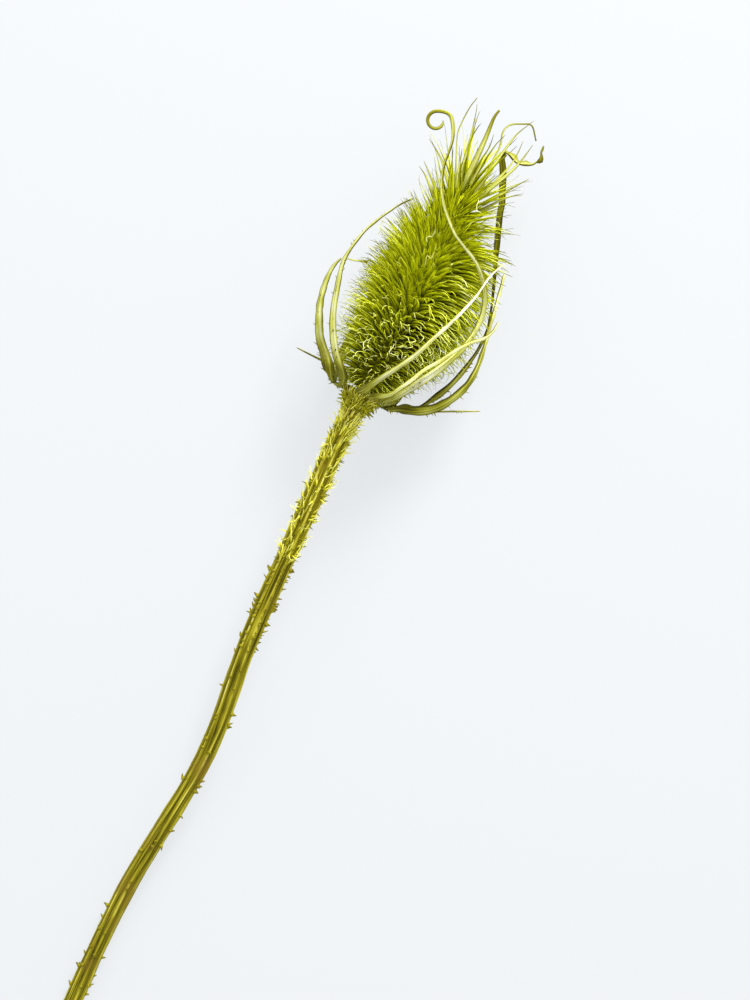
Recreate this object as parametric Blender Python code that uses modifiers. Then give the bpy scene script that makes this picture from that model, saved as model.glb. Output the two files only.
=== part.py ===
"""A dried, dyed teasel head on its cut stem, lying on a table.

Metres, +Z up. +X runs along the stem towards the tip of the head, +Y is to the left seen from above with the
tip ahead, and the origin is on the table below the middle of the whole plant. The head is an oval core whose
every cell is drawn out into a spine. Long bracts spring from under the head and arch round it, and two of
them lie flat on the table and carry the head. The third point of rest is the cut end of the stem.
"""

import math
import random

import bmesh
import bpy
import numpy as np
from mathutils import Quaternion, Vector

MM = 0.001

# Where the head joins the stem, from the middle of the plant and above the table.
HEAD_BASE = Vector((58.8, 4.4, 21.5)) * MM

# The head's core, and its cells.
HEAD_LENGTH = 69 * MM
CORE_RADIUS = 8.6 * MM
CORE_EGG_SHAPE = 0.75
CORE_FULLNESS = 0.6
HEAD_BOW = 1.6 * MM
CELLS_AROUND = 21
CELL_ROWS = 27
SEAT_RADIUS = 3.4 * MM

# The head's spines, which lengthen into a tuft at the tip.
SPINE_SHORTEST = 6 * MM
SPINE_GAIN = 7.3 * MM
SPINE_GAIN_OVER = 0.13
SPINE_LEAST = 2.5 * MM
SPINE_SHOULDER = 0.34
SPINE_RADIUS = 0.42 * MM
SPINE_BEND = 0.06
SPINE_JITTER = math.radians(6)
LEAN_AT_BASE = math.radians(-12)
LEAN_GAIN = math.radians(62)
LEAN_AT_TIP = math.radians(30)
TUFT_START = 0.72
TUFT_GAIN = 12 * MM
TUFT_FAN = math.radians(24)
TUFT_LENGTHS = (0.4, 0.45, 0.5, 0.62, 0.8, 1.1)
SPINE_GAP = 0.45 * MM

# The stem: a ribbed tube that flares into a cup under the head. Its line is given from the head's base, and
# its neck as pairs of a distance from that base and a radius, in millimetres.
STEM_ROUTE = (
    (-210, -3.5, -19.4), (-162, -2.5, -17), (-115.5, -6, -11.5), (-78.5, -2.5, -6.2), (-41, -1, -1.8),
    (-17, 0, -0.2), (0, 0, 0))
STEM_RIBS = 7
RIB_DEPTH = 0.09
STEM_RADIUS_LOW = 2.5 * MM
STEM_RADIUS_HIGH = 2.9 * MM
NECK_PROFILE = ((-6, 3.1), (-3.4, 3.7), (-1.6, 4.6), (-0.2, 5.2), (0.6, 5.1), (0.7, 4.4), (-0.6, 2.2))
CUP_BACK = 3.4 * MM
LINE_STEP = 0.4 * MM
PRICKLY_LENGTH = 48 * MM
RING_STEP_PRICKLY = 1.35 * MM
RING_STEP_PLAIN = 3.2 * MM
PRICKLE_LENGTH = 1.5 * MM
PRICKLE_SLANT = 0.45 * MM
PRICKLE_SHARE_HIGH = 0.42
PRICKLE_SHARE_LOW = 0.06

# The bracts are thin blades that spring from the cup.
COLLAR_RADIUS = 5.7 * MM
COLLAR_BACK = 0.5 * MM
KNEE_OUT = 2.6 * MM
KNEE_AHEAD = 0.4 * MM
BLADE_THICKNESS = 0.7 * MM
BLADE_GAP = 0.9 * MM
BLADE_STEP = 3.4 * MM
BLADE_FOLD = 0.28
CURL_STEP = 1.1 * MM
FACING_FROM = 14 * MM
FACING_TO = 60 * MM

SEEDS = {"spines": 11, "prickles": 5}
PLACE_ROUNDING = 0.001 * MM


class Curl:
    """A blade's rolled tip: its centre from the head's base, its first and last radius, the angle that it
    starts at and the angle that it turns."""

    def __init__(self, centre, radii, start, turn):
        self.centre = Vector(centre) * MM
        self.radii = [radius * MM for radius in radii]
        self.start = math.radians(start)
        self.turn = math.radians(turn)

    def points(self):
        """Points about a step apart along the roll, which keeps one height."""
        count = int(self.turn * sum(self.radii) / 2 / CURL_STEP)
        angle = np.linspace(self.start, self.start + self.turn, count + 1)
        radius = np.linspace(*self.radii, count + 1)
        return [self.centre + Vector((r * math.cos(t), r * math.sin(t), 0)) for r, t in zip(radius, angle)]


class Bract:
    """One long blade: the angle round the stem where it springs, counted from the top towards the left, its
    widths from root to tip and its points from the head's base (ahead, left, up) in millimetres, its fold,
    its twist in degrees, and its rolled tip if it has one."""

    def __init__(self, name, spring, widths, route, fold=BLADE_FOLD, twist=0, curl=None):
        self.name = name
        self.spring = math.radians(spring)
        self.route = [Vector(point) * MM for point in route]
        self.widths = [width * MM for width in widths]
        self.fold = fold
        self.twist = math.radians(twist)
        self.curl = curl

    def width_at(self, share):
        """The blade's width at this share of its length."""
        return np.interp(share, np.linspace(0, 1, len(self.widths)), self.widths)


BRACTS = (
    Bract(
        "bract_front", 4, (1.5, 1.7, 1.6, 1.1, 0.6),
        ((1, -0.5, 13), (3.5, -2, 17.5), (8.5, -5, 20), (15.5, -9, 20.8), (22.5, -11.7, 20.3),
         (29.5, -14.4, 19.3), (37.5, -16.8, 18), (45, -18, 16.8), (50, -20, 15))),
    Bract(
        "bract_left_inner", 40, (1.7, 2.1, 1.7, 1.3, 1.0, 0.6),
        ((3, 8, 12.5), (6, 11, 13.5), (11, 14.5, 13), (17, 17.5, 11), (23, 19.5, 8), (31, 21.7, 4),
         (36, 21.6, 1.5), (42.5, 20.5, -1.5), (49, 18, -5.5), (55, 15, -9.5), (58.5, 12.5, -12)), twist=-35),
    Bract(
        "bract_left_outer", 72, (1.8, 2.4, 2.6, 1.8, 0.8),
        ((3, 12, 5), (5.5, 14.7, 4.8), (9, 18, 4), (13.5, 20.5, 3), (18, 22.5, 2), (24, 23.8, 0.5),
         (29, 24, -0.5), (32.5, 23, -1)), twist=-50),
    Bract("bract_left_spreading", 104, (1.3, 1.1, 0.6), ((3.5, 12, -2.8), (3.5, 16, -2.9), (3.5, 23, -2))),
    Bract(
        "bract_under_left", 140, (1.8, 2.8, 3.0, 2.2, 0.8),
        ((-0.5, 9.5, -12.5), (2.5, 10.5, -18.6), (8, 11, -21.9), (26, 10.5, -22.1), (42, 9.5, -21.9),
         (54, 8, -20.6), (63, 6, -18.6)), fold=0),
    Bract(
        "bract_under_right", 205, (1.8, 2.6, 2.8, 2.2, 0.8),
        ((-0.5, -7.5, -13.5), (2.5, -9, -18.8), (8, -9.5, -21.9), (24, -10, -22.1), (38, -9.5, -21.9),
         (49, -8, -20.8)), fold=0),
    Bract(
        "bract_right_spreading", 236, (1.3, 1.1, 0.6),
        ((1, -10, -6), (2, -15.5, -7), (6.5, -24, -7.5), (11, -33, -7))),
    Bract(
        "bract_right_back", 262, (1.8, 2.4, 2.4, 2.0, 1.7, 1.4, 0.9),
        ((0.5, -10.8, -2.2), (2.5, -15, -3.5), (7, -18.5, -4.5), (13, -21.5, -5.5), (20, -23.5, -6.5),
         (28, -24.5, -7.5), (34, -24, -8), (42.5, -21.5, -9), (52.5, -17.5, -10), (62.5, -13.5, -10.5),
         (70.5, -10.5, -10), (77, -7.5, -8.5), (81, -5, -7.5), (82.5, -6.5, -7), (81, -10, -6.5),
         (82, -14, -6), (85, -16, -6), (88, -14.5, -6)), twist=40),
    Bract(
        "bract_right_outer", 288, (1.8, 2.4, 2.4, 2.0, 1.8, 0.9),
        ((1, -11.3, 2.2), (2.2, -15.5, 1), (5, -20, -0.5), (9.5, -23.5, -1), (15.5, -26, -1.5),
         (21.5, -26.5, -2), (29, -25.5, -2.8), (34, -24.5, -3.2), (42.5, -23, -3.8), (49.5, -21.5, -4)),
        twist=35),
    Bract(
        "bract_curled", 316, (1.7, 2.3, 1.7, 1.4, 1.4, 1.3, 1.0),
        ((1.5, -7.5, 11.5), (4, -10, 15), (11, -14.3, 15.5), (21, -19, 11.5), (30.5, -21.1, 9.3),
         (37, -20.4, 10.3), (41.3, -18.2, 12.6), (45, -14.8, 15.4), (47.2, -11.7, 17.1), (49.2, -7.2, 18.6),
         (51.5, -3, 19), (58, 3.5, 17.5), (65.5, 7.3, 16), (75, 8.8, 15), (80.5, 11.8, 14.5),
         (81.3, 13.8, 14.5)), twist=20, curl=Curl((77.7, 15.2, 14.5), (3.05, 1.95), 16.5, 285)),
    Bract(
        "bract_right_low", 342, (1.5, 1.7, 1.7, 1.3, 0.7),
        ((1, -5, 14.5), (2.5, -7.5, 17.3), (5, -9, 18.8), (8.5, -11, 19.5), (13, -13, 19), (17.5, -16, 17.5),
         (22, -18.5, 15.5), (26, -21.3, 13.8), (29, -24.3, 12), (32, -25.7, 10.5), (35.3, -26, 9.5)),
        twist=25),
)


def new_object(name, mesh, material):
    """An object of this mesh with its material, in the plant's collection."""
    obj = bpy.data.objects.new(name, mesh)
    mesh.materials.append(material)
    plant.objects.link(obj)
    return obj


def mesh_from(bm, name):
    """A mesh of this name, and the end of the working copy."""
    mesh = bpy.data.meshes.new(name)
    bm.to_mesh(mesh)
    bm.free()
    return mesh


def dry_material(name, colour):
    """Matt dry plant tissue of one colour."""
    material = bpy.data.materials.new(name)
    material.use_nodes = True
    shader = material.node_tree.nodes["Principled BSDF"]
    shader.inputs["Base Color"].default_value = (*colour, 1)
    shader.inputs["Roughness"].default_value = 0.8
    shader.inputs["Metallic"].default_value = 0
    return material


def in_order(faces):
    """The faces sorted by where they are, so that each draws the same random numbers in every run."""
    def place(face):
        return [round(number / PLACE_ROUNDING) for number in face.calc_center_median()]
    return sorted(faces, key=place)


def smooth_route(points, step):
    """Points about a step apart on the smooth curve (Catmull-Rom) through these points."""
    known = np.array([points[0], *points, points[-1]], float)
    known[0] += known[1] - known[2]
    known[-1] += known[-2] - known[-3]
    share = np.linspace(0, 1, 24, endpoint=False)[:, None]
    pieces = []
    for a, b, c, d in zip(known, known[1:], known[2:], known[3:]):
        bend = (2 * a - 5 * b + 4 * c - d) * share**2 + (3 * b - a - 3 * c + d) * share**3
        pieces.append(b + ((c - a) * share + bend) / 2)
    fine = np.vstack([*pieces, known[-2]])
    walked = distances(fine)
    even = np.linspace(0, walked[-1], round(walked[-1] / step) + 1)
    return np.column_stack([np.interp(even, walked, fine[:, axis]) for axis in range(3)])


def distances(line):
    """How far along the line each of its points is."""
    return np.concatenate([[0], np.cumsum(np.linalg.norm(np.diff(line, axis=0), axis=1))])


def core_radius(share):
    """The core's radius at this share of the head's length: blunt at the base, slimmer towards the tip."""
    return CORE_RADIUS * np.sin(np.pi * share**CORE_EGG_SHAPE) ** CORE_FULLNESS


def spine_lean(share):
    """How far a spine leans from square on to the head's axis towards the tip."""
    return LEAN_AT_BASE + LEAN_GAIN * share**0.7 + LEAN_AT_TIP * share**4


def spine_length(share):
    """Spines grow longer up the head, and far longer in the tuft."""
    tuft = np.clip((share - TUFT_START) / (1 - TUFT_START), 0, 1)
    body = SPINE_SHORTEST + SPINE_GAIN * (1 - np.exp(-share / SPINE_GAIN_OVER))
    return body + TUFT_GAIN * tuft**2 * (3 - 2 * tuft)


def axis_point(ahead):
    """The point of the head's axis this far ahead of its base. The axis bows a little to the right."""
    share = min(max(ahead / HEAD_LENGTH, 0), 1.25)
    return HEAD_BASE + Vector((ahead, -HEAD_BOW * math.sin(math.pi * share), 0))


# The core's outline from base to tip, the distance walked along it, and where the spines' tips come to.
SHARES = np.linspace(0.001, 0.999, 400)
OUTLINE = np.column_stack([SHARES * HEAD_LENGTH, core_radius(SHARES)])
OUTLINE_WALKED = distances(OUTLINE)
TIPS_AHEAD = OUTLINE[:, 0] + spine_length(SHARES) * np.sin(spine_lean(SHARES))
TIPS_OUT = OUTLINE[:, 1] + spine_length(SHARES) * np.cos(spine_lean(SHARES))


def outside_the_spines(point):
    """The same point, moved straight out from the axis if it is among the spines."""
    ahead = point.x - HEAD_BASE.x
    axis = axis_point(ahead)
    needed = np.interp(ahead, TIPS_AHEAD, TIPS_OUT, left=0, right=0) + BLADE_GAP
    out = point - axis
    if out.length < needed and ahead < HEAD_LENGTH:
        return axis + out.normalized() * needed
    return point


def bract_line(bract):
    """The blade's points from cup to tip, clear of the spines, and the way out from the head at each."""
    around = Vector((0, math.sin(bract.spring), math.cos(bract.spring)))
    root = around * COLLAR_RADIUS - Vector((COLLAR_BACK, 0, 0))
    knee = root + around * KNEE_OUT + Vector((KNEE_AHEAD, 0, 0))
    free = smooth_route([root, knee, *bract.route], BLADE_STEP)
    line = [outside_the_spines(HEAD_BASE + Vector(point)) for point in free]
    out = [point - axis_point(min(max(point.x - HEAD_BASE.x, FACING_FROM), FACING_TO)) for point in line]
    if bract.curl:
        rolled = bract.curl.points()
        line += [HEAD_BASE + point for point in rolled]
        out += [point - bract.curl.centre for point in rolled]
    return line, out


def build_bract(bract, material):
    """A grid laid along the blade's line and folded along its midrib, with a wall on its inner side."""
    line, out = bract_line(bract)
    last = len(line) - 1
    bm = bmesh.new()
    bmesh.ops.create_grid(bm, x_segments=last, y_segments=2, size=0.5)
    for vert in bm.verts:
        index = round((vert.co.x + 0.5) * last)
        side = vert.co.y * 2
        share = index / last
        before = max(index - 1, 0)
        after = min(index + 1, last)
        ahead = (line[after] - line[before]).normalized()
        facing = sum(out[before:after + 1], Vector())
        facing = (facing - ahead * facing.dot(ahead)).normalized()
        facing.rotate(Quaternion(ahead, bract.twist * math.sin(math.pi * min(share * 1.2, 1))))
        half = bract.width_at(share) / 2
        sunk = bract.fold * half * (1 - abs(side))
        vert.co = line[index] + facing.cross(ahead) * side * half + facing * sunk
        vert.co.z = max(vert.co.z, 0)
    bmesh.ops.triangulate(bm, faces=bm.faces, quad_method="SHORT_EDGE")
    bmesh.ops.recalc_face_normals(bm, faces=bm.faces)
    middle = min(bm.faces, key=lambda face: (face.calc_center_median() - line[last // 3]).length)
    if middle.normal.dot(out[last // 3]) < 0:
        bmesh.ops.reverse_faces(bm, faces=bm.faces)
    blade = new_object(bract.name, mesh_from(bm, bract.name), material)
    wall = blade.modifiers.new("wall", "SOLIDIFY")
    wall.thickness = BLADE_THICKNESS
    wall.offset = -1


def lines_to_avoid():
    """Points along every bract, each with the distance that a spine keeps from it."""
    found = []
    for bract in BRACTS:
        line, _ = bract_line(bract)
        keep = bract.width_at(np.linspace(0, 1, len(line))) / 2 + SPINE_GAP + SPINE_RADIUS
        for a, b, gap in zip(line, line[1:], keep):
            found += [(*a.lerp(b, step), gap) for step in (0, 0.34, 0.67)]
    return np.array(found)


def blocked(root, tip, lines):
    """Does this spine come too near a bract's line, or the table?"""
    share = np.linspace(0.3, 1, 12)[:, None]
    points = np.array(root) * (1 - share) + np.array(tip) * share
    near = np.linalg.norm(points[:, None] - lines[None, :, :3], axis=2) < lines[:, 3]
    return near.any() or tip.z < SPINE_GAP


def in_seat(cell):
    """Is this cell on the bare underside of the head, which sits in the stem's cup?"""
    middle = cell.calc_center_median()
    ahead = middle.x - HEAD_BASE.x
    return (middle - axis_point(ahead)).length < SEAT_RADIUS and ahead < HEAD_LENGTH / 4


def spine_on(cell, draw, lines):
    """The shoulder and the tip of a cell's spine, cut short where a bract or the table is in its way."""
    root = cell.calc_center_median()
    ahead = root.x - HEAD_BASE.x
    share = min(max(ahead / HEAD_LENGTH, 0), 1)
    out = root - axis_point(ahead)
    angle = math.atan2(out.z, out.y) + draw.uniform(-SPINE_JITTER, SPINE_JITTER)
    lean = spine_lean(share) + draw.uniform(-SPINE_JITTER, SPINE_JITTER)
    length = spine_length(share) * draw.uniform(0.84, 1.04)
    if share > TUFT_START:
        length *= draw.choice(TUFT_LENGTHS)
        lean -= draw.uniform(0, TUFT_FAN)
    square = Vector((0, math.cos(angle), math.sin(angle)))
    way = square * math.cos(lean) + Vector((math.sin(lean), 0, 0))
    while length > SPINE_LEAST and blocked(root, root + way * length, lines):
        length *= 0.9
    bend = (square - way) * length * SPINE_BEND
    return root + way * length * SPINE_SHOULDER + bend, root + way * length


def build_head(material):
    """An egg-shaped ball of triangular cells, each drawn out into a three-sided spine leaning to the tip."""
    bm = bmesh.new()
    bmesh.ops.create_uvsphere(bm, u_segments=CELLS_AROUND, v_segments=CELL_ROWS, radius=1)
    for vert in bm.verts:
        row = round(CELL_ROWS * (1 - math.acos(max(-1, min(1, vert.co.z))) / math.pi))
        share = np.interp(OUTLINE_WALKED[-1] * row / CELL_ROWS, OUTLINE_WALKED, SHARES)
        angle = math.atan2(vert.co.y, vert.co.x) + row * math.pi / CELLS_AROUND
        radius = core_radius(share) if 0 < row < CELL_ROWS else 0
        vert.co = axis_point(share * HEAD_LENGTH) + Vector((0, math.cos(angle), math.sin(angle))) * radius
    bmesh.ops.triangulate(bm, faces=bm.faces, quad_method="SHORT_EDGE")
    draw = random.Random(SEEDS["spines"])
    lines = lines_to_avoid()
    cells = in_order(face for face in bm.faces if not in_seat(face))
    spines = [spine_on(cell, draw, lines) for cell in cells]
    bmesh.ops.inset_individual(bm, faces=cells, thickness=0.1 * MM)
    for cell, (shoulder, tip) in zip(cells, spines):
        along = (tip - shoulder).normalized()
        middle = cell.calc_center_median()
        for vert in cell.verts:
            out = vert.co - middle
            vert.co = shoulder + (out - along * out.dot(along)).normalized() * SPINE_RADIUS
    for cell, (_, tip) in zip(cells, spines):
        bmesh.ops.poke(bm, faces=[cell])["verts"][0].co = tip
    new_object("spiny_head", mesh_from(bm, "spiny_head"), material)


def stem_rings():
    """Each ring of the stem, from the cut end to the inside of the cup: its centre, way ahead and radius."""
    line = smooth_route([Vector(point) * MM + HEAD_BASE for point in STEM_ROUTE], LINE_STEP)
    walked = distances(line)
    length = walked[-1]
    neck = length + NECK_PROFILE[0][0] * MM
    plain = np.arange(0, length - PRICKLY_LENGTH, RING_STEP_PLAIN)
    prickly = np.arange(length - PRICKLY_LENGTH, neck - RING_STEP_PRICKLY / 2, RING_STEP_PRICKLY)
    stops = [*plain, *prickly]
    gain = STEM_RADIUS_HIGH - STEM_RADIUS_LOW
    radii = [STEM_RADIUS_LOW + gain * (stop / length) ** 2 for stop in stops]
    stops += [length + along * MM for along, _ in NECK_PROFILE]
    radii += [radius * MM for _, radius in NECK_PROFILE]
    rings = []
    for stop, radius in zip(stops, radii):
        on_line = min(max(stop, LINE_STEP), length)
        here, behind = [
            Vector([np.interp(place, walked, line[:, axis]) for axis in range(3)])
            for place in (on_line, on_line - LINE_STEP)
        ]
        ahead = (here - behind).normalized()
        rings.append((here + ahead * (stop - on_line), ahead, radius))
    return rings


def build_stem(material):
    """A ribbed tube whose rings follow the stem's line, with some faces drawn out into prickles."""
    rings = stem_rings()
    last = len(rings) - 1
    bm = bmesh.new()
    bmesh.ops.create_cone(bm, segments=2 * STEM_RIBS, radius1=1, radius2=1, depth=1, cap_ends=True)
    lengthways = [edge for edge in bm.edges if abs(edge.verts[0].co.z - edge.verts[1].co.z) > 0.5]
    bmesh.ops.subdivide_edges(bm, edges=lengthways, cuts=last - 1)
    for vert in bm.verts:
        angle = math.atan2(vert.co.y, vert.co.x)
        centre, ahead, radius = rings[round((vert.co.z + 0.5) * last)]
        left = Vector((0, 0, 1)).cross(ahead).normalized()
        up = ahead.cross(left)
        out = radius * (1 + RIB_DEPTH * math.cos(STEM_RIBS * angle))
        vert.co = centre + left * out * math.cos(angle) + up * out * math.sin(angle)
    draw = random.Random(SEEDS["prickles"])
    for face in in_order(bm.faces):
        middle = face.calc_center_median()
        high = middle.x > HEAD_BASE.x - PRICKLY_LENGTH
        share = PRICKLE_SHARE_HIGH if high else PRICKLE_SHARE_LOW
        if len(face.verts) == 4 and middle.x < HEAD_BASE.x - CUP_BACK and draw.random() < share:
            tip = middle + face.normal * PRICKLE_LENGTH * draw.uniform(0.6, 1.1)
            tip.x += draw.uniform(-PRICKLE_SLANT, PRICKLE_SLANT)
            bmesh.ops.poke(bm, faces=[face])["verts"][0].co = tip
    for vert in bm.verts:
        vert.co.z = max(vert.co.z, 0)
    new_object("stem", mesh_from(bm, "stem"), material)


for obj in list(bpy.data.objects):
    bpy.data.objects.remove(obj)
plant = bpy.data.collections.new("teasel_head")
bpy.context.scene.collection.children.link(plant)

build_stem(dry_material("dry_stem", (0.4, 0.36, 0.04)))
straw = dry_material("dry_bracts", (0.62, 0.62, 0.22))
for one in BRACTS:
    build_bract(one, straw)
build_head(dry_material("dry_spines", (0.36, 0.42, 0.02)))
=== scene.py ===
"""The looks of a dried, dyed teasel head that lies on a pale table: its spines, its bracts and its stem.

Metres, +Z up, in the part's own frame. Every shape is worked out as whole arrays: lines, the width and depth
of a ring of corners at each step of each line, and the walls between one ring and the next. Each corner also
gets four numbers for its material: shade (a place on the colour ramp), tone (lighter or darker), run (metres
along the line) and side (where it is across the line).
"""

import math

import bpy
import numpy as np
from mathutils import Matrix, Vector


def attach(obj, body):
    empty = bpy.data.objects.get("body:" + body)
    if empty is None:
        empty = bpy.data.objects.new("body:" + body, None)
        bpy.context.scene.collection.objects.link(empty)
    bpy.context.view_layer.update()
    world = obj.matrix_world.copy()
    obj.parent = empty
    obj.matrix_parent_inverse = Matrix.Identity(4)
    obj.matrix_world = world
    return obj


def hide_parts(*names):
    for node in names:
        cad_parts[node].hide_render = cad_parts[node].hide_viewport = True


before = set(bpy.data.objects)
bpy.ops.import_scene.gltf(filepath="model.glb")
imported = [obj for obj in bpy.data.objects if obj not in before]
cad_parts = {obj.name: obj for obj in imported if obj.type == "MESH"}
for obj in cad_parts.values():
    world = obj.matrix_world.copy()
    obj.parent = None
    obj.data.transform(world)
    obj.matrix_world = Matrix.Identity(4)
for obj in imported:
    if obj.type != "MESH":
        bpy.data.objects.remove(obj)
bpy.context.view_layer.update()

MM = 0.001
AHEAD = np.array([1.0, 0, 0])
TWO_PI = 2 * np.pi

# The camera looks straight down on the plant. One pixel of the picture is this long at the head's axis.
PICTURE_WIDE = 750
PICTURE_HIGH = 1000
PIXEL = 0.288 * MM
HEAD_BASE_PIXEL = (362, 394)
AXIS_IN_PICTURE = math.radians(63.5)
LENS_MM = 85
SENSOR_MM = 36
TABLE_SIZE = 6
TABLE_DROP = 0.2 * MM

# The head: where it joins the stem, and its egg-shaped core. Its axis bows to the right, and no spine grows
# within the seat's radius up to the share of its length that the cup covers.
HEAD_BASE = np.array([58.8, 4.4, 21.5]) * MM
HEAD_LENGTH = 69 * MM
CORE_RADIUS = 8.6 * MM
CORE_EGG_SHAPE = 0.75
CORE_FULLNESS = 0.6
CORE_RINGS = 44
CORE_CORNERS = 48
HEAD_BOW = 1.6 * MM
SEAT_RADIUS = 3.4 * MM
CUP_COVERS = 0.25

# The spines: how many, how long, and how they lean from square on to the head's axis. From THINNED_FROM on,
# every third is left out.
SPINE_COUNT = 2600
SPINE_ROOT_DEPTH = 0.93
THINNED_FROM = 0.86
SPINE_SHORTEST = 6 * MM
SPINE_GAIN = 7.3 * MM
SPINE_GAIN_OVER = 0.13
LEAN_AT_BASE = math.radians(-12)
LEAN_GAIN = math.radians(62)
LEAN_AT_TIP = math.radians(30)
LEAN_SCATTER = math.radians(5)
BASE_DROOP = math.radians(20)
SPINE_SAG = math.radians(38)
SPINE_LENGTHS = (0.72, 1.06)
SPINE_BULKS = (0.82, 1.12)
SPINE_TONES = (0.76, 1.24)
PLAIN_SPINE = 13 * MM
PALE_TIPS = 0.12
SAG_MIDDLE = 0.42
WANDER = 0.1
WANDER_WAVES = 5
TUFT_START = 0.72
TUFT_GAIN = 12 * MM
TUFT_FAN = math.radians(24)
TUFT_LENGTHS = (0.36, 0.42, 0.5, 0.6, 0.75, 0.95)
SPINE_GAP = 0.35 * MM
BRACT_CLEARANCE = 0.4 * MM
SPINE_CUTS = 10
SPINE_CUT_TO = 0.9
GOLDEN_ANGLE = math.pi * (3 - math.sqrt(5))

# The right side's spines lean back, are longer and wider, and sag more. The lower ones have painted light on
# their awns and painted shade at their roots.
RIGHT_LEANS_BACK = math.radians(25)
RIGHT_LONGER = 0.2
RIGHT_WIDER = 0.25
RIGHT_SAGS_MORE = 0.4
RIGHT_DARKER = 0.05
RIGHT_PAINTED_LIGHT = 0.3
RIGHT_ROOTS_PAINTED_SHADE = 0.06

# A spine's hook and crimp turn it by these radians, and where it is curly by the second number as well.
HOOK_MIDDLE = -0.15
HOOK_TURNS = (0.25, 1.25)
SIDE_TURNS = (0.25, 1.2)
CRIMP_TURNS = (0.12, 0.5)
CRIMP_WAVES = 26
CURLY_THINNER = 0.34
CURLY_AWN_THINNER = 0.27
TUFT_THINNER = 0.44
TUFT_DARKER = 0.05
# Painted shade on the awns of curly spines that point down, away from the light.
UNLIT_AWN_SHADE = 0.5
PALE_TIP_SHADE = 0.6

# Where each of these begins along the head and over how much of it, as shares of its length.
DROOP_FADES = (0, 0.12)
CURLY_FADES = (0.16, 0.34)
SAG_GROWS = (-0.06, 0.25)
SAG_FADES = (0.55, 0.35)
ARCHING_GROWS = (0.08, 0.22)
ARCHING_FADES = (0.8, 0.15)
PAINTED_LIGHT_FADES = (0.45, 0.3)
THINNER_GROWS = (0.55, 0.3)
DARKER_GROWS = (0.7, 0.2)

# The same along a spine, as shares of its length, and for the painted shade on awns that point down, by how
# far up it points.
HOOK_GROWS = (0.64, 0.36)
CRIMP_GROWS = (0.62, 0.2)
CURLY_AWN = (0.35, 0.3)
RIGHT_AWN = (0.3, 0.3)
PALE_TIP = (0.6, 0.3)
PAINTED_LIGHT_AWN = (0.45, 0.25)
UNLIT_AWN = (0.5, 0.3)
UNLIT_FADES = (-0.1, 0.6)

# Along a spine, at these shares of its length: half its width, and its place on the colour ramp, low on the
# head and high on it. The low places at the root are painted shade deep among the spines.
SPINE_STEPS = np.array([0, 0.12, 0.28, 0.44, 0.58, 0.7, 0.79, 0.87, 0.94, 1])
SPINE_HALF_WIDTHS = np.array([0.7, 0.95, 0.85, 0.66, 0.46, 0.31, 0.22, 0.17, 0.13, 0.05]) * MM
SHADES_LOW = np.array([0.2, 0.28, 0.36, 0.44, 0.52, 0.63, 0.76, 0.86, 0.84, 0.6])
SHADES_HIGH = np.array([0.34, 0.44, 0.51, 0.56, 0.59, 0.56, 0.44, 0.29, 0.16, 0.08])
# The four corners of a spine's section: its edge, its inner side, paler as painted light, its other edge
# and its keel, darker as painted shade.
SPINE_ACROSS = np.array([1.0, 0, -1, 0])
SPINE_DEPTHS = np.array([0, 0.42, 0, -0.58])
SPINE_LIT_AND_SHADED_SIDES = np.array([0, 0.25, 0, -0.27])

# The stem: its line from the head's base in millimetres, and its neck as distances from that base and radii.
STEM_ROUTE = ((-210, -3.5, -19.4), (-162, -2.5, -17), (-115.5, -6, -11.5), (-78.5, -2.5, -6.2),
              (-41, -1, -1.8), (-17, 0, -0.2), (0, 0, 0))
STEM_LINE_STEP = 0.5 * MM
STEM_RING_STEP = 0.6 * MM
NECK_RINGS = 19
PITH_DEPTH = 0.5 * MM
STEM_RIBS = 7
STEM_CORNERS = 84
RIB_DEPTH = 0.16
RIB_SHARPNESS = 0.6
RIB_DRIFT = 0.12
RIB_DRIFT_OVER = 31 * MM
STEM_ROUGHNESS = 0.006
STEM_RADIUS_LOW = 2.5 * MM
STEM_RADIUS_HIGH = 2.9 * MM
NECK_PROFILE = ((-6, 3.1), (-3.4, 3.7), (-1.6, 4.6), (-0.2, 5.2), (0.6, 5.1), (0.7, 4.4), (-0.6, 2.2))

# The stem's prickles: thorns on its ribs, and bristles all round its upper end. Each kind has its number, its
# first and last place in millimetres back from the head, its shortest and longest length in millimetres, half
# its width as a share of that, how far it leans ahead (middle and scatter), and its shades from root to tip.
# None is nearer to the cut end than BARE_END.
BARE_END = 3 * MM
PALE = (0.6, 0.8, 0.95, 1, 1)
DARK = (0.45, 0.4, 0.25, 0.12, 0.08)
STEM_THORNS = (
    dict(number=90, first=80, last=54, sizes=(0.7, 1.5), slender=0.3, ahead=(0.2, 0.3), shades=DARK),
    dict(number=95, first=250, last=66, sizes=(0.8, 1.5), slender=0.42, ahead=(0.3, 0.25), shades=DARK),
)
STEM_BRISTLES = (
    dict(number=240, first=14, last=1.2, sizes=(2.0, 3.8), slender=0.09, ahead=(1.8, 0.9), shades=PALE),
    dict(number=340, first=54, last=4, sizes=(1.6, 3.4), slender=0.1, ahead=(1.3, 0.8), shades=PALE),
    dict(number=70, first=54, last=5, sizes=(3.0, 6.0), slender=0.05, ahead=(3.6, 0.6), shades=PALE),
    dict(number=260, first=54, last=2, sizes=(0.9, 1.9), slender=0.19, ahead=(0.2, 0.35), shades=DARK),
)

# The scales round the cup: how many, their places along it, and its radii, in millimetres.
CUP_SCALES = 120
CUP_SCALES_AHEAD = (-5.2, -0.4)
CUP_AHEAD = (-5, -1.6, -0.2)
CUP_RADII = (3.3, 4.4, 4.9)
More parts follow.
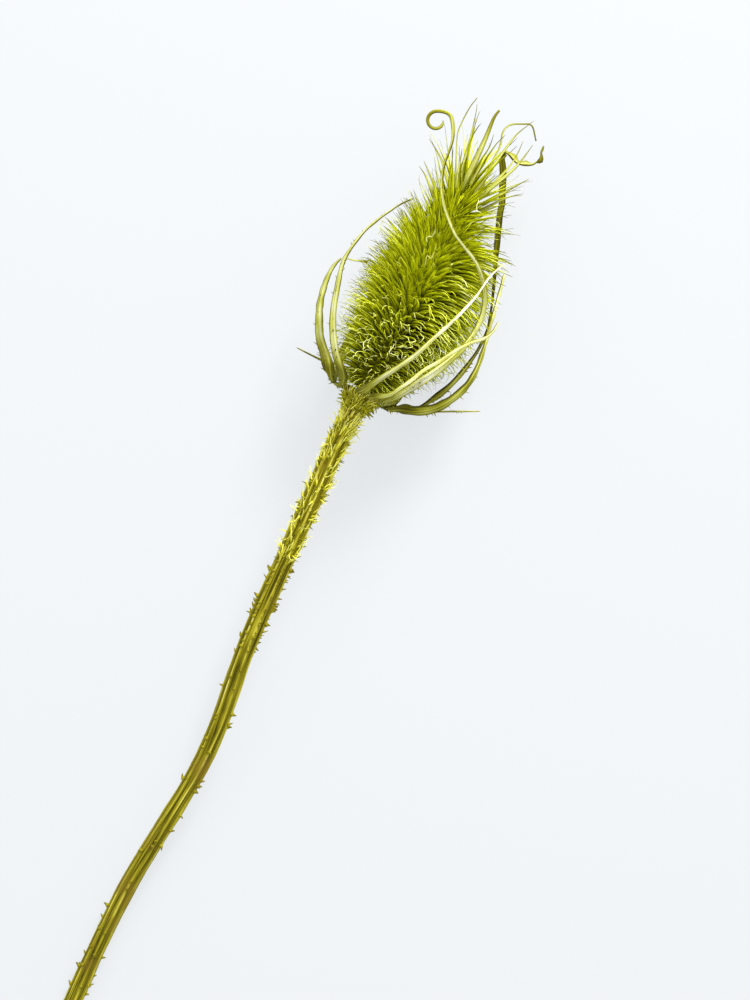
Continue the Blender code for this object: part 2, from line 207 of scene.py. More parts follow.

# The bracts. spring is the angle round the stem where one starts, in degrees. route is its points ahead, to
# the left and up from the head's base, and widths its widths from root to tip, both in millimetres. twist is
# one number of degrees, or several from root to tip. fold is how far its ridge stands up, as a share of half
# its width. tones says how light it is from root to tip, and its paleness list how pale, partly from real
# bleaching and partly as a painted highlight, or below 0 how olive. rolled_from and crumpled_from are the
# shares of its length where that begins, and curl is a rolled tip.
BRACTS = {
    "bract_front": dict(
        spring=4, widths=(2.1, 1.7, 1.2, 0.9, 0.4), twist=0, fold=0.3, tones=(0.7, 0.9, 1.05, 1.1),
        bleached_or_highlit=(0, 0.05, 0.35, 0.5),
        route=((1, -0.5, 13), (3.5, -2, 17.5), (8.5, -5, 20), (15.5, -9, 20.8), (22.5, -11.7, 20.3),
               (29.5, -14.4, 19.3), (37.5, -16.8, 18), (45, -18, 16.8), (50, -20, 15))),
    "bract_left_inner": dict(
        spring=40, widths=(2.3, 2.1, 1.7, 1.2, 1.0, 0.6), twist=50, fold=0.4, tones=(0.6, 0.6, 0.6, 0.68),
        bleached_or_highlit=(0, -0.02, 0, 0),
        route=((3, 8, 12.5), (6, 11, 13.5), (11, 14.5, 13), (17, 17.5, 11), (23, 19.5, 8), (31, 21.7, 4),
               (36, 21.6, 1.5), (42.5, 20.5, -1.5), (49, 18, -5.5), (55, 15, -9.5), (58.5, 12.5, -12))),
    "bract_left_outer": dict(
        spring=72, widths=(2.5, 2.6, 2.3, 1.8, 0.7), twist=60, fold=0.45, tones=(0.6, 0.66, 0.7, 0.7),
        bleached_or_highlit=(0, -0.08, -0.05, -0.05),
        route=((3, 12, 5), (5.5, 14.7, 4.8), (9, 18, 4), (13.5, 20.5, 3), (18, 22.5, 2), (24, 23.8, 0.5),
               (29, 24, -0.5), (32.5, 23, -1))),
    "bract_left_spreading": dict(
        spring=104, widths=(1.8, 1.1, 0.25), twist=0, fold=0.3, tones=(0.55, 0.7), bleached_or_highlit=(0, 0),
        route=((3.5, 12, -2.8), (3.5, 16, -2.9), (3.5, 23, -2))),
    "bract_under_left": dict(
        spring=140, widths=(2.2, 2.8, 3.0, 2.2, 0.6), twist=0, fold=0, tones=(0.8, 0.9, 0.9), bleached_or_highlit=(0, 0),
        route=((-0.5, 9.5, -12.5), (2.5, 10.5, -18.6), (8, 11, -21.9), (26, 10.5, -22.1), (42, 9.5, -21.9),
               (54, 8, -20.6), (63, 6, -18.6))),
    "bract_under_right": dict(
        spring=205, widths=(2.2, 2.6, 2.8, 2.2, 0.6), twist=0, fold=0, tones=(0.8, 0.9, 0.9), bleached_or_highlit=(0, 0),
        route=((-0.5, -7.5, -13.5), (2.5, -9, -18.8), (8, -9.5, -21.9), (24, -10, -22.1), (38, -9.5, -21.9),
               (49, -8, -20.8))),
    "bract_right_spreading": dict(
        spring=236, widths=(1.9, 1.1, 0.25), twist=0, fold=0.3, tones=(0.6, 0.85, 1), bleached_or_highlit=(0, 0.05, 0.2),
        route=((1, -10, -6), (2, -15.5, -7), (6.5, -24, -7.5), (11, -33, -7))),
    "bract_right_back": dict(
        spring=262, widths=(2.8, 3.0, 2.1, 1.3, 1.2, 1.8, 2.0, 2.0, 0.8),
        twist=(-45, -45, -30, 0, 40, 60, 130), fold=0.35, crumpled_from=0.82,
        tones=(0.75, 0.8, 0.7, 0.6, 0.7, 0.85), bleached_or_highlit=(-0.15, -0.25, -0.3, -0.3, -0.25, -0.1),
        route=((0.5, -10.8, -2.2), (2.5, -15, -3.5), (7, -18.5, -4.5), (13, -21.5, -5.5), (20, -23.5, -6.5),
               (28, -24.5, -7.5), (34, -24, -8), (42.5, -21.5, -9), (52.5, -17.5, -10), (62.5, -13.5, -10.5),
               (70.5, -10.5, -10), (77, -7.5, -8.5), (81, -5, -7.5), (82.5, -6.5, -7), (81, -10, -6.5),
               (82, -14, -6), (85, -16, -6), (88, -14.5, -6))),
    "bract_right_outer": dict(
        spring=288, widths=(2.8, 3.0, 2.3, 1.8, 1.4, 1.2), twist=-50, fold=0.35,
        tones=(0.75, 0.8, 0.85, 1, 1.1), bleached_or_highlit=(-0.1, -0.25, -0.2, 0.1, 0.15),
        route=((1, -11.3, 2.2), (2.2, -15.5, 1), (5, -20, -0.5), (9.5, -23.5, -1), (15.5, -26, -1.5),
               (21.5, -26.5, -2), (29, -25.5, -2.8), (34, -24.5, -3.2), (42.5, -23, -3.8),
               (49.5, -21.5, -4))),
    "bract_curled": dict(
        spring=316, widths=(2.3, 2.2, 1.8, 1.4, 1.0, 1.05, 1.1, 0.9), twist=-40, fold=0.4,
        tones=(0.65, 0.9, 0.95, 0.8, 0.85, 0.8, 0.75, 0.7), rolled_from=0.78,
        bleached_or_highlit=(0, 0.15, 0.1, 0, 0, 0, 0.2, 0, -0.15, -0.15, -0.2),
        route=((1.5, -7.5, 11.5), (4, -10, 15), (11, -14.3, 15.5), (21, -19, 11.5), (30.5, -21.1, 9.3),
               (37, -20.4, 10.3), (41.3, -18.2, 12.6), (45, -14.8, 15.4), (47.2, -11.7, 17.1),
               (49.2, -7.2, 18.6), (51.5, -3, 19), (58, 3.5, 17.5), (65.5, 7.3, 16), (75, 8.8, 15),
               (80.5, 11.8, 14.5), (81.3, 13.8, 14.5)),
        curl=dict(centre=(77.7, 15.2, 14.5), radii=(3.05, 1.95), start=16.5, turn=285)),
    "bract_right_low": dict(
        spring=342, widths=(1.7, 1.2, 1.1, 1.1, 0.6), twist=-25, fold=0.4, tones=(0.75, 0.9, 0.95, 0.9),
        bleached_or_highlit=(0, 0.05, 0.12, 0.12),
        route=((1, -5, 14.5), (2.5, -7.5, 17.3), (5, -9, 18.8), (8.5, -11, 19.5), (13, -13, 19),
               (17.5, -16, 17.5), (22, -18.5, 15.5), (26, -21.3, 13.8), (29, -24.3, 12), (32, -25.7, 10.5),
               (35.3, -26, 9.5))),
}

# Where the bracts spring from the cup, and what their blades have in common.
CUP_RADIUS = 5.7 * MM
CUP_SINK = 0.5 * MM
KNEE_OUT = 2.6 * MM
KNEE_AHEAD = 0.4 * MM
BLADE_THICKNESS = 0.34 * MM
BLADE_GAP = 0.9 * MM
BLADE_STEP = 0.7 * MM
LOWEST_LINE = 0.05 * MM
LIES_BELOW = 3 * MM
ROOT_SWELLING = 0.45
ROOT_SWELLS_AT = 4 * MM
ROOT_SWELLS_OVER = 3.5 * MM
CRUMPLE_STEP = 4.2 * MM
CRUMPLE_SIZE = 0.45 * MM
CRUMPLE_SWELLING = 0.45
THORN_SPACING = 1.8 * MM
THORNS_ON_EDGES_AND_KEEL = (0.42, 0.42, 0.16)
FACING_FROM = 14 * MM
FACING_TO = 60 * MM
PAST_THE_TIP = 2
CRUMPLES_OVER = 0.04
ROLLS_OVER = 0.08
TWIST_GROWS = (0, 0.2)
TWIST_EASES = (0.8, 0.2)
TIP_NARROWS = (0.985, 0.015)
PALE_GROWS = (3 * MM, 12 * MM)

# The corners of a blade's section, from one edge to the other, as shares of half its width.
BLADE_ACROSS = np.array([1, 0.8, 0.45, 0.14, -0.14, -0.45, -0.8, -1])

# Loose bristles: points ahead, to the left and up from the head's base, and widths, in millimetres.
LOOSE_BRISTLES = {
    "broad": (((64.8, 0.6, 4), (69.1, 0.6, 7), (74.7, 0.6, 8), (80.7, 0.8, 9), (86.4, 1.2, 10),
               (89, 0.8, 10)), (1.3, 1.7, 1.8, 1.5, 1.2, 0.8)),
    "kinked": (((64.1, 2.2, 3), (70, 4.9, 6), (75.9, 7.6, 8), (79.4, 8.7, 9), (85.5, 8.7, 10),
                (89.4, 8, 10)), (1.2, 0.5, 0.35, 0.35, 0.3, 0.2)),
    "twin_left": (((64.6, 1.1, 3), (70.2, 3.1, 6), (73.9, 3.7, 7), (79.3, 4.8, 8), (85.8, 6.5, 9),
                   (88, 7.3, 9)), (1.5, 1.0, 0.8, 0.55, 0.25, 0.1)),
    "twin_right": (((65.2, 0.4, 2), (71.8, 2.5, 4), (78.3, 4.2, 6), (84.5, 5.5, 7), (87, 5.7, 7)),
                   (1.3, 0.9, 0.6, 0.3, 0.1)),
    "loop": (((67.5, -4.2, 2), (76.1, -3.8, 3), (81, -3.8, 4), (84.8, -2.8, 5), (87.5, -3.7, 5),
              (89.4, -6.9, 5), (90.1, -9.4, 5), (86.7, -12.4, 5)), (1.3, 0.9, 0.6, 0.5, 0.5, 0.45, 0.35)),
    "arching": (((65.3, -3.4, 3), (69, -3.7, 5), (77.4, -5.1, 7), (82.4, -6, 8), (85.6, -6.7, 8),
                 (88.9, -8.2, 8), (91.1, -9.3, 8)), (1.4, 1.2, 0.9, 0.6, 0.3, 0.1)),
    "fan_long": (((65, -5.3, 5), (67.8, -6.4, 7), (73.7, -9.3, 9), (79.1, -11.1, 9), (84.7, -12.1, 9)),
                 (1.3, 1.2, 0.8, 0.45, 0.1)),
    "fan_upper": (((66.7, -6.2, 3), (70.4, -7.1, 5), (76.9, -8.9, 6), (80.6, -9.3, 6), (84.9, -9.1, 6)),
                  (1.3, 1.0, 0.6, 0.3, 0.1)),
    "fan_low": (((64, -6.6, 1), (70.7, -11.3, 2), (76.6, -15.4, 2)), (1.2, 0.6, 0.1)),
    "fan_lowest": (((62, -6.7, 0), (69, -11.9, 0), (72, -15.9, 0)), (1.2, 0.6, 0.1)),
    "left_tall": (((64, 3.7, 3), (66.7, 6.4, 4), (69.6, 9.1, 5), (71.9, 12.5, 6), (73.5, 15.2, 6)),
                  (1.2, 1.0, 0.6, 0.35, 0.1)),
    "left_short": (((61.1, 6, 0), (64.8, 10.1, 0), (68, 14, 0)), (1.2, 0.6, 0.1)),
    "left_low": (((60, 6.7, -2), (64.6, 11.5, -3), (66.5, 14.7, -3)), (1.2, 0.6, 0.1)),
    "short_right": (((67.1, -1.1, 5), (71, -1.3, 7), (76.2, -1.8, 8)), (1.2, 0.7, 0.1)),
    "short_middle": (((64.4, 2.1, 6), (68.2, 3.4, 8), (74.7, 5.4, 9)), (1.1, 0.6, 0.1)),
    "squiggle": (((39.2, -0.3, 19), (42, 0.5, 19.5), (41.7, -0.9, 19.5), (43.6, -0.9, 19.5),
                  (43.7, -1.8, 19.5), (42.6, -2, 19.5)), (0.3, 0.35, 0.35, 0.35, 0.3, 0.2)),
    "caught": (((32.9, 21, 2), (33.2, 19.7, 1), (34, 17.6, 0), (34.8, 15.7, -1)), (0.3, 0.4, 0.5, 0.5)),
}
BRISTLE_STEP = 0.8 * MM
BRISTLE_THICKNESS = 0.3 * MM
BRISTLE_FACING = (0.2, 0.1, 1.0)

# Fine curly filaments caught among the spines: how many, their step, and half their width at each step.
FILAMENTS = 14
FILAMENT_STEP = 0.55 * MM
FILAMENT_HALF_WIDTHS = np.array([0.06, 0.1, 0.1, 0.11, 0.11, 0.11, 0.1, 0.1, 0.1, 0.09, 0.07, 0.03]) * MM

# How many points of the smooth curve lie between two given ones, before they are spaced out evenly.
CURVE_POINTS = 24

SEEDS = dict(spines=7, loose=3, bracts=12, filaments=21, stem=9)


def unit(vectors):
    """The same directions with a length of one."""
    return vectors / np.maximum(np.linalg.norm(vectors, axis=-1, keepdims=True), 1e-12)


def dot(a, b):
    """The product of two directions, kept as a last axis of one."""
    return np.sum(a * b, axis=-1, keepdims=True)


def rise(place, start, over):
    """0 up to the start, and 1 from start + over on. Between, with x from 0 to 1, it is 3 x^2 - 2 x^3."""
    x = np.clip((place - start) / over, 0, 1)
    return x * x * (3 - 2 * x)


def even(values, share):
    """Evenly spaced values read at these shares of the way, straight between one and the next."""
    return np.interp(share, np.linspace(0, 1, len(values)), values)


def distances(line):
    """How far along the line each of its points is."""
    return np.concatenate([[0], np.cumsum(np.linalg.norm(np.diff(line, axis=0), axis=1))])


def smooth_route(points, step):
    """Points about a step apart on a smooth curve through these points. Between two of them it is a cubic,
    whose slope at each is half the way from the point before to the point after."""
    known = np.array([points[0], *points, points[-1]], float)
    known[0] += known[1] - known[2]
    known[-1] += known[-2] - known[-3]
    a, b, c, d = known[:-3, None], known[1:-2, None], known[2:-1, None], known[3:, None]
    t = np.linspace(0, 1, CURVE_POINTS, endpoint=False)[:, None]
    curve = 0.5 * (2 * b + (c - a) * t + (2 * a - 5 * b + 4 * c - d) * t**2 + (3 * b - a - 3 * c + d) * t**3)
    curve = np.vstack([curve.reshape(-1, 3), known[-2]])
    walk = distances(curve)
    places = np.linspace(0, walk[-1], round(walk[-1] / step) + 1)
    return np.column_stack([np.interp(places, walk, curve[:, axis]) for axis in range(3)])


def softened(values, times):
    """Each value drawn towards the mean of its neighbours, this many times over. The ends stay."""
    values = values.copy()
    for _ in range(times):
        values[1:-1] = (values[:-2] + 2 * values[1:-1] + values[2:]) / 4
    return values


def around_axis(angle):
    """Directions square to the head's axis: straight left at no angle, straight up at a quarter turn."""
    return np.stack([0 * angle, np.cos(angle), np.sin(angle)], axis=-1)


def sweep(centres, across, outward, wide, deep, **fields):
    """Closed bodies along lines, as (points, quads, fields). A corner of a ring is centre + across * wide +
    outward * deep, with a wide and a deep for each corner. Walls join each ring to the next, and strips close
    both ends."""
    count, rings, corners = wide.shape
    points = centres[:, :, None] + across[:, :, None] * wide[..., None]
    points = points + outward[:, :, None] * deep[..., None]
    index = np.arange(wide.size).reshape(count, rings, corners)
    after = np.roll(index, -1, axis=2)
    walls = np.stack([index[:, :-1], after[:, :-1], after[:, 1:], index[:, 1:]], axis=-1)
    near = np.arange(corners // 2 - 1)
    far = corners - 1 - near
    first, last = index[:, 0], index[:, -1]
    start = np.stack([first[:, near], first[:, far], first[:, far - 1], first[:, near + 1]], axis=-1)
    end = np.stack([last[:, near], last[:, near + 1], last[:, far - 1], last[:, far]], axis=-1)
    quads = np.concatenate([part.reshape(-1, 4) for part in (walls, start, end)])
    spread = {name: np.broadcast_to(values, wide.shape).ravel() for name, values in fields.items()}
    return points.reshape(-1, 3), quads, spread


def piece(name, parts, material, slot, *nodes):
    """One object from several sweeps, with its material, in place of these nodes of the part."""
    starts = np.cumsum([0] + [len(points) for points, _, _ in parts])
    points = np.concatenate([points for points, _, _ in parts])
    quads = np.concatenate([quads + start for (_, quads, _), start in zip(parts, starts)])
    mesh = bpy.data.meshes.new(name)
    mesh.vertices.add(len(points))
    mesh.vertices.foreach_set("co", points.ravel())
    mesh.loops.add(quads.size)
    mesh.loops.foreach_set("vertex_index", quads.ravel())
    mesh.polygons.add(len(quads))
    mesh.polygons.foreach_set("loop_start", np.arange(0, quads.size, 4))
    mesh.polygons.foreach_set("use_smooth", np.ones(len(quads), bool))
    mesh.update(calc_edges=True)
    for field in ("shade", "tone", "run", "side"):
        values = np.concatenate([fields[field] for _, _, fields in parts])
        mesh.attributes.new(field, "FLOAT", "POINT").data.foreach_set("value", values)
    mesh.materials.append(material)
    obj = bpy.data.objects.new(name, mesh)
    bpy.context.scene.collection.objects.link(obj)
    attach(obj, "root")
    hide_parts(*nodes)


def core_radius(share):
    """The core's radius: its most, times sin(pi share^egg)^fullness: blunt at the base, slim at the tip."""
    return CORE_RADIUS * np.sin(np.pi * share**CORE_EGG_SHAPE) ** CORE_FULLNESS


def spine_lean(share):
    """How far a spine leans from square on to the head's axis towards the tip: more and more along the head,
    as share^0.7, and as share^4 besides in the tuft."""
    return LEAN_AT_BASE + LEAN_GAIN * share**0.7 + LEAN_AT_TIP * share**4


def spine_length(share):
    """Spines near full length as 1 - e^(-share / over) above the base, and are far longer in the tuft."""
    body = SPINE_SHORTEST + SPINE_GAIN * (1 - np.exp(-share / SPINE_GAIN_OVER))
    return body + TUFT_GAIN * rise(share, TUFT_START, 1 - TUFT_START)


def axis_points(ahead):
    """Points of the head's axis this far ahead of its base. The axis bows a little to the right."""
    share = np.clip(ahead / HEAD_LENGTH, 0, 1.25)
    return HEAD_BASE + np.stack([ahead, -HEAD_BOW * np.sin(np.pi * share), 0 * ahead], axis=-1)


SHARES = np.linspace(0.001, 0.999, 400)
OUTLINE = np.column_stack([SHARES * HEAD_LENGTH, core_radius(SHARES)])
TIPS_AHEAD = OUTLINE[:, 0] + spine_length(SHARES) * np.sin(spine_lean(SHARES))
TIPS_OUT = OUTLINE[:, 1] + spine_length(SHARES) * np.cos(spine_lean(SHARES))


def bract_line(spring, route, curl=None, **_):
    """The blade's points from the cup to its tip, clear of the spines, and the way out from the head at each.
    Points among the spines are moved straight out from the axis. A rolled tip is a spiral at one height."""
    angle = math.radians(spring)
    around = np.array([0, math.sin(angle), math.cos(angle)])
    root = around * CUP_RADIUS - [CUP_SINK, 0, 0]
    knee = root + around * KNEE_OUT + [KNEE_AHEAD, 0, 0]
    line = HEAD_BASE + smooth_route([root, knee, *(np.array(route) * MM)], BLADE_STEP)
    ahead = line[:, 0] - HEAD_BASE[0]
    axis = axis_points(ahead)
    out = line - axis
    needed = np.interp(ahead, TIPS_AHEAD, TIPS_OUT, left=0, right=0) + BLADE_GAP
    among = (np.linalg.norm(out, axis=1) < needed) & (ahead < HEAD_LENGTH)
    line[among] = (axis + unit(out) * needed[:, None])[among]
    out = line - axis_points(np.clip(ahead, FACING_FROM, FACING_TO))
    if curl:
        centre = HEAD_BASE + np.array(curl["centre"]) * MM
        first, last = curl["radii"]
        turn = math.radians(curl["turn"])
        share = np.linspace(0, 1, int(turn * (first + last) * MM / 2 / BLADE_STEP) + 1)
        angle = math.radians(curl["start"]) + share * turn
        radius = (first + (last - first) * share) * MM
        roll = np.stack([radius * np.cos(angle), radius * np.sin(angle), 0 * angle], axis=-1)
        line = np.vstack([line, centre + roll])
        out = np.vstack([out, roll])
    return line, out


BRACT_LINES = {name: bract_line(**bract) for name, bract in BRACTS.items()}


def walked(root, ways, length):
    """Lines that start at root and follow these ways, one for each of a spine's steps."""
    hops = (ways[:, 1:] + ways[:, :-1]) / 2 * np.diff(SPINE_STEPS)[:, None] * length[:, None, None]
    return root[:, None] + np.concatenate([np.zeros_like(hops[:, :1]), np.cumsum(hops, axis=1)], axis=1)


def kept_clear(root, ways, length):
    """The lengths, cut by a tenth at a time until no spine comes near a bract or the table."""
    keep_off = []
    for name, values in BRACTS.items():
        line = BRACT_LINES[name][0][::3]
        reach = even(values["widths"], np.linspace(0, 1, len(line))) * MM / 2 + SPINE_GAP + BRACT_CLEARANCE
        keep_off.append((line, reach))
    length = length.copy()
    near = np.ones(len(length), bool)
    for _ in range(SPINE_CUTS):
        points = walked(root[near], ways[near], length[near])[:, 2:]
        close = points[..., 2].min(axis=1) < SPINE_GAP
        for line, reach in keep_off:
            apart = np.linalg.norm(points[:, :, None] - line, axis=-1)
            close |= (apart < reach).any(axis=(1, 2))
        near[near] = close
        length[near] *= SPINE_CUT_TO
    return length


def spine_sweep(draw):
    """The spines: a golden-angle spiral, spaced evenly over the core's area. Each is a boat-shaped scale with
    a keel below, that narrows into a thin awn. Its way turns from its first lean back towards square along
    its length, like a fountain's arc, wanders a little, and ends in a hook. The lowest are curly: their hooks
    are strong and their awns crimped, and painted shade darkens the awns of those that point down. Those on
    the right arch further and are longer and wider, the lower ones with painted light on their awns and
    painted shade at their roots."""
    area = np.concatenate([[0], np.cumsum(np.diff(distances(OUTLINE)) * (OUTLINE[1:, 1] + OUTLINE[:-1, 1]))])
    number = np.arange(SPINE_COUNT)
    share = np.interp((number + 0.5) / SPINE_COUNT * area[-1], area, SHARES)
    seated = (share > CUP_COVERS) | (core_radius(share) > SEAT_RADIUS)
    thinned = (share < THINNED_FROM) | (number % 3 > 0)
    share, number = share[seated & thinned], number[seated & thinned]
    count = len(share)
    square = around_axis(number * GOLDEN_ANGLE)
    around = np.cross(AHEAD, square)
    root = axis_points(share * HEAD_LENGTH) + square * (core_radius(share) * SPINE_ROOT_DEPTH)[:, None]

    tuft = share > TUFT_START
    lean = spine_lean(share) + draw.normal(0, LEAN_SCATTER, count)
    length = spine_length(share) * draw.uniform(*SPINE_LENGTHS, count)
    length[tuft] *= draw.choice(TUFT_LENGTHS, tuft.sum())
    lean[tuft] -= draw.uniform(0, TUFT_FAN, tuft.sum())
    lean -= BASE_DROOP * (1 - rise(share, *DROOP_FADES))
    arching = np.clip(-1.2 * square[:, 1], 0, 1)
    arching = arching * rise(share, *ARCHING_GROWS) * (1 - rise(share, *ARCHING_FADES))
    lean -= RIGHT_LEANS_BACK * arching
    length *= 1 + RIGHT_LONGER * arching

    step = SPINE_STEPS
    curly = 1 - rise(share, *CURLY_FADES)
    sag = SPINE_SAG * rise(share, *SAG_GROWS) * (1 - rise(share, *SAG_FADES))
    sag = sag * (1 + RIGHT_SAGS_MORE * arching)
    hooked = rise(step, *HOOK_GROWS)
    hook = draw.normal(HOOK_MIDDLE, 1, count) * (HOOK_TURNS[0] + HOOK_TURNS[1] * curly)
    hook_side = draw.normal(0, 1, count) * (SIDE_TURNS[0] + SIDE_TURNS[1] * curly)
    phase = draw.uniform(0, TWO_PI, (count, 2))
    crimp = (CRIMP_TURNS[0] + CRIMP_TURNS[1] * curly)[:, None] * np.sin(step * CRIMP_WAVES + phase[:, :1])
    crimp = crimp * rise(step, *CRIMP_GROWS)
    leans = lean[:, None] + sag[:, None] * (SAG_MIDDLE - step) + hook[:, None] * hooked
    sides = draw.normal(0, LEAN_SCATTER, count)[:, None] + WANDER * np.sin(step * WANDER_WAVES + phase[:, 1:])
    sides = sides + hook_side[:, None] * hooked + crimp
    ways = (np.cos(sides) * np.cos(leans))[..., None] * square[:, None]
    ways = ways + (np.cos(sides) * np.sin(leans))[..., None] * AHEAD
    ways = ways + np.sin(sides)[..., None] * around[:, None]
    length = kept_clear(root, ways, length)
    line = walked(root, ways, length)

    across = unit(around[:, None] - ways * dot(around[:, None], ways))
    outward = np.cross(ways, across)
    bulk = draw.uniform(*SPINE_BULKS, count) * np.sqrt(length / PLAIN_SPINE)
    bulk *= 1 - CURLY_THINNER * curly - TUFT_THINNER * rise(share, *THINNER_GROWS)
    half = SPINE_HALF_WIDTHS * bulk[:, None]
    half = half * (1 - CURLY_AWN_THINNER * curly[:, None] * rise(step, *CURLY_AWN))
    half = half * (1 + RIGHT_WIDER * arching[:, None] * rise(step, *RIGHT_AWN))
    wide = half[..., None] * SPINE_ACROSS
    deep = half[..., None] * SPINE_DEPTHS
    line[..., 2] = np.maximum(line[..., 2], SPINE_GAP + half)
    pale_tip = (draw.random(count) < PALE_TIPS)[:, None] * PALE_TIP_SHADE * rise(step, *PALE_TIP)
    shade = curly[:, None] * SHADES_LOW + (1 - curly[:, None]) * (SHADES_HIGH + pale_tip)
    shade = shade - TUFT_DARKER * rise(share, *DARKER_GROWS)[:, None] - RIGHT_DARKER * arching[:, None]
    # Painted light on the awns of the right side's lower spines, and painted shade at their roots.
    paler = (arching * (1 - rise(share, *PAINTED_LIGHT_FADES)))[:, None]
    shade = shade + RIGHT_PAINTED_LIGHT * paler * rise(step, *PAINTED_LIGHT_AWN) - RIGHT_ROOTS_PAINTED_SHADE * paler
    # Painted shade on the awns of curly spines that point down, away from the light.
    unlit_awns = (curly * (1 - rise(square[:, 2], *UNLIT_FADES)))[:, None]
    shade = shade - UNLIT_AWN_SHADE * unlit_awns * rise(step, *UNLIT_AWN)
    return sweep(
        line, across, outward, wide, deep,
        shade=shade[..., None] + SPINE_LIT_AND_SHADED_SIDES, tone=draw.uniform(*SPINE_TONES, count)[:, None, None],
        run=step[None, :, None] * length[:, None, None],
        side=draw.uniform(0, 40, count)[:, None, None] + SPINE_DEPTHS)


def core_sweep():
    """The core that the spines grow from, dark as painted shade deep among them: a ring of its radius at each
    step of the head's axis.
    """
    share = np.linspace(0.003, 0.997, CORE_RINGS)
    centres = axis_points(share * HEAD_LENGTH)[None]
    radius = core_radius(share)[None, :, None]
    turn = np.linspace(0, TWO_PI, CORE_CORNERS, endpoint=False)
    left = np.broadcast_to([0.0, 1, 0], centres.shape)
    up = np.broadcast_to([0.0, 0, 1], centres.shape)
    wide, deep = radius * np.cos(turn), radius * np.sin(turn)
    # Painted shade deep among the spines, darkest near the base.
    shade = 0.12 + 0.3 * share[None, :, None]
    return sweep(centres, left, up, wide, deep, shade=shade, tone=1, run=0, side=turn)


def bristle_sweep(points, widths, twist, tone):
    """A loose bristle: a roof-shaped ribbon along a smooth route, wide at its root, with a dark tip."""
    line = smooth_route([HEAD_BASE + np.array(point) * MM for point in points], BRISTLE_STEP)
    share = np.linspace(0, 1, len(line))
    way = unit(np.gradient(line, axis=0))
    out = np.array(BRISTLE_FACING)
    facing = unit(out - way * dot(out, way))
    turn = (twist * share)[:, None]
    facing = facing * np.cos(turn) + np.cross(way, facing) * np.sin(turn)
    across = np.cross(facing, way)
    half = even(widths, share)[:, None] * MM / 2
    x = np.array([1, 0.5, 0, -0.5, -1, -1, -0.5, 0, 0.5, 1])
    upper = np.repeat([1, -1], 5)
    deep = half * 0.35 * (1 - np.abs(x)) + np.minimum(BRISTLE_THICKNESS, half * 1.2) / 2 * upper
    shade = 0.5 - 0.32 * rise(share, 0.55, 0.4)[:, None] - 0.2 * rise(np.abs(x), 0.5, 0.5)
    return sweep(
        line[None], across[None], facing[None], (half * x)[None], deep[None],
        shade=shade[None], tone=tone, run=distances(line)[None, :, None], side=x)


def filament_sweep(draw):
    """Fine curly filaments caught among the spines: each line's way swings at random from step to step."""
    steps = len(FILAMENT_HALF_WIDTHS)
    share = draw.uniform(0.08, 0.75, FILAMENTS)
    square = around_axis(draw.uniform(0, TWO_PI, FILAMENTS))
    out = np.interp(share, SHARES, TIPS_OUT) * 0.9
    tip = axis_points(np.interp(share, SHARES, TIPS_AHEAD)) + square * out[:, None]
    swing = np.cumsum(draw.normal(0, 0.75, (FILAMENTS, steps, 2)), axis=1)
    flat = draw.uniform(0, TWO_PI, (FILAMENTS, 1)) + swing[..., 0]
    lift = 0.6 * np.sin(swing[..., 1])
    around = np.cross(AHEAD, square)
    ways = (np.cos(lift) * np.cos(flat))[..., None] * AHEAD
    ways = ways + (np.cos(lift) * np.sin(flat))[..., None] * around[:, None]
    ways = unit(ways + np.sin(lift)[..., None] * square[:, None])
    line = tip[:, None] + np.cumsum(ways, axis=1) * FILAMENT_STEP
    line[..., 2] = np.maximum(line[..., 2], SPINE_GAP)
    across = unit(np.cross(ways, square[:, None] + 0.3))
    outward = np.cross(ways, across)
    half = np.broadcast_to(FILAMENT_HALF_WIDTHS, (FILAMENTS, steps))[..., None]
    wide, deep = half * np.array([1, 0, -1, 0]), half * np.array([0, 1, 0, -1])
    return sweep(line, across, outward, wide, deep, shade=0.95, tone=1.05, run=0, side=0)


def head(material, loose_material):
    """The spiny head: its core, its spines and the caught filaments, and its paler loose bristles."""
    draw = np.random.default_rng(SEEDS["loose"])
    loose = [
        bristle_sweep(points, widths, draw.uniform(-1, 1), draw.uniform(0.8, 1.05))
        for points, widths in LOOSE_BRISTLES.values()
    ]
    spines = spine_sweep(np.random.default_rng(SEEDS["spines"]))
    filaments = filament_sweep(np.random.default_rng(SEEDS["filaments"]))
    piece("head_spines", [core_sweep(), spines, filaments], material, "spines", "spiny_head")
    piece("head_bristles", loose, loose_material, "spines", "spiny_head")


def prickle_sweep(root, way, length, half, shades, tone, bend=0.2):
    """Small curved cones: from each root along way, bending to one side as the square of the way out,
    four-sided, and sunk in at the root. The bend is a share of the length."""
    step = np.array([-0.15, 0.25, 0.6, 0.85, 1])
    across = unit(np.cross(way, [0.31, 0.77, 0.55]))
    outward = np.cross(way, across)
    line = root[:, None] + way[:, None] * (length[:, None] * step)[..., None]
    line = line + across[:, None] * (np.reshape(bend, (-1, 1)) * length[:, None] * step**2)[..., None]
    size = half[:, None] * np.array([1.3, 0.85, 0.5, 0.3, 0.08])
    wide = size[..., None] * np.array([1, 0, -1, 0])
    deep = size[..., None] * np.array([0, 1, 0, -1])
    line[..., 2] = np.maximum(line[..., 2], size * 1.05)
    across = np.broadcast_to(across[:, None], line.shape)
    outward = np.broadcast_to(outward[:, None], line.shape)
    shade = np.array(shades)[None, :, None]
    return sweep(line, across, outward, wide, deep, shade=shade, tone=tone[:, None, None], run=0, side=0)


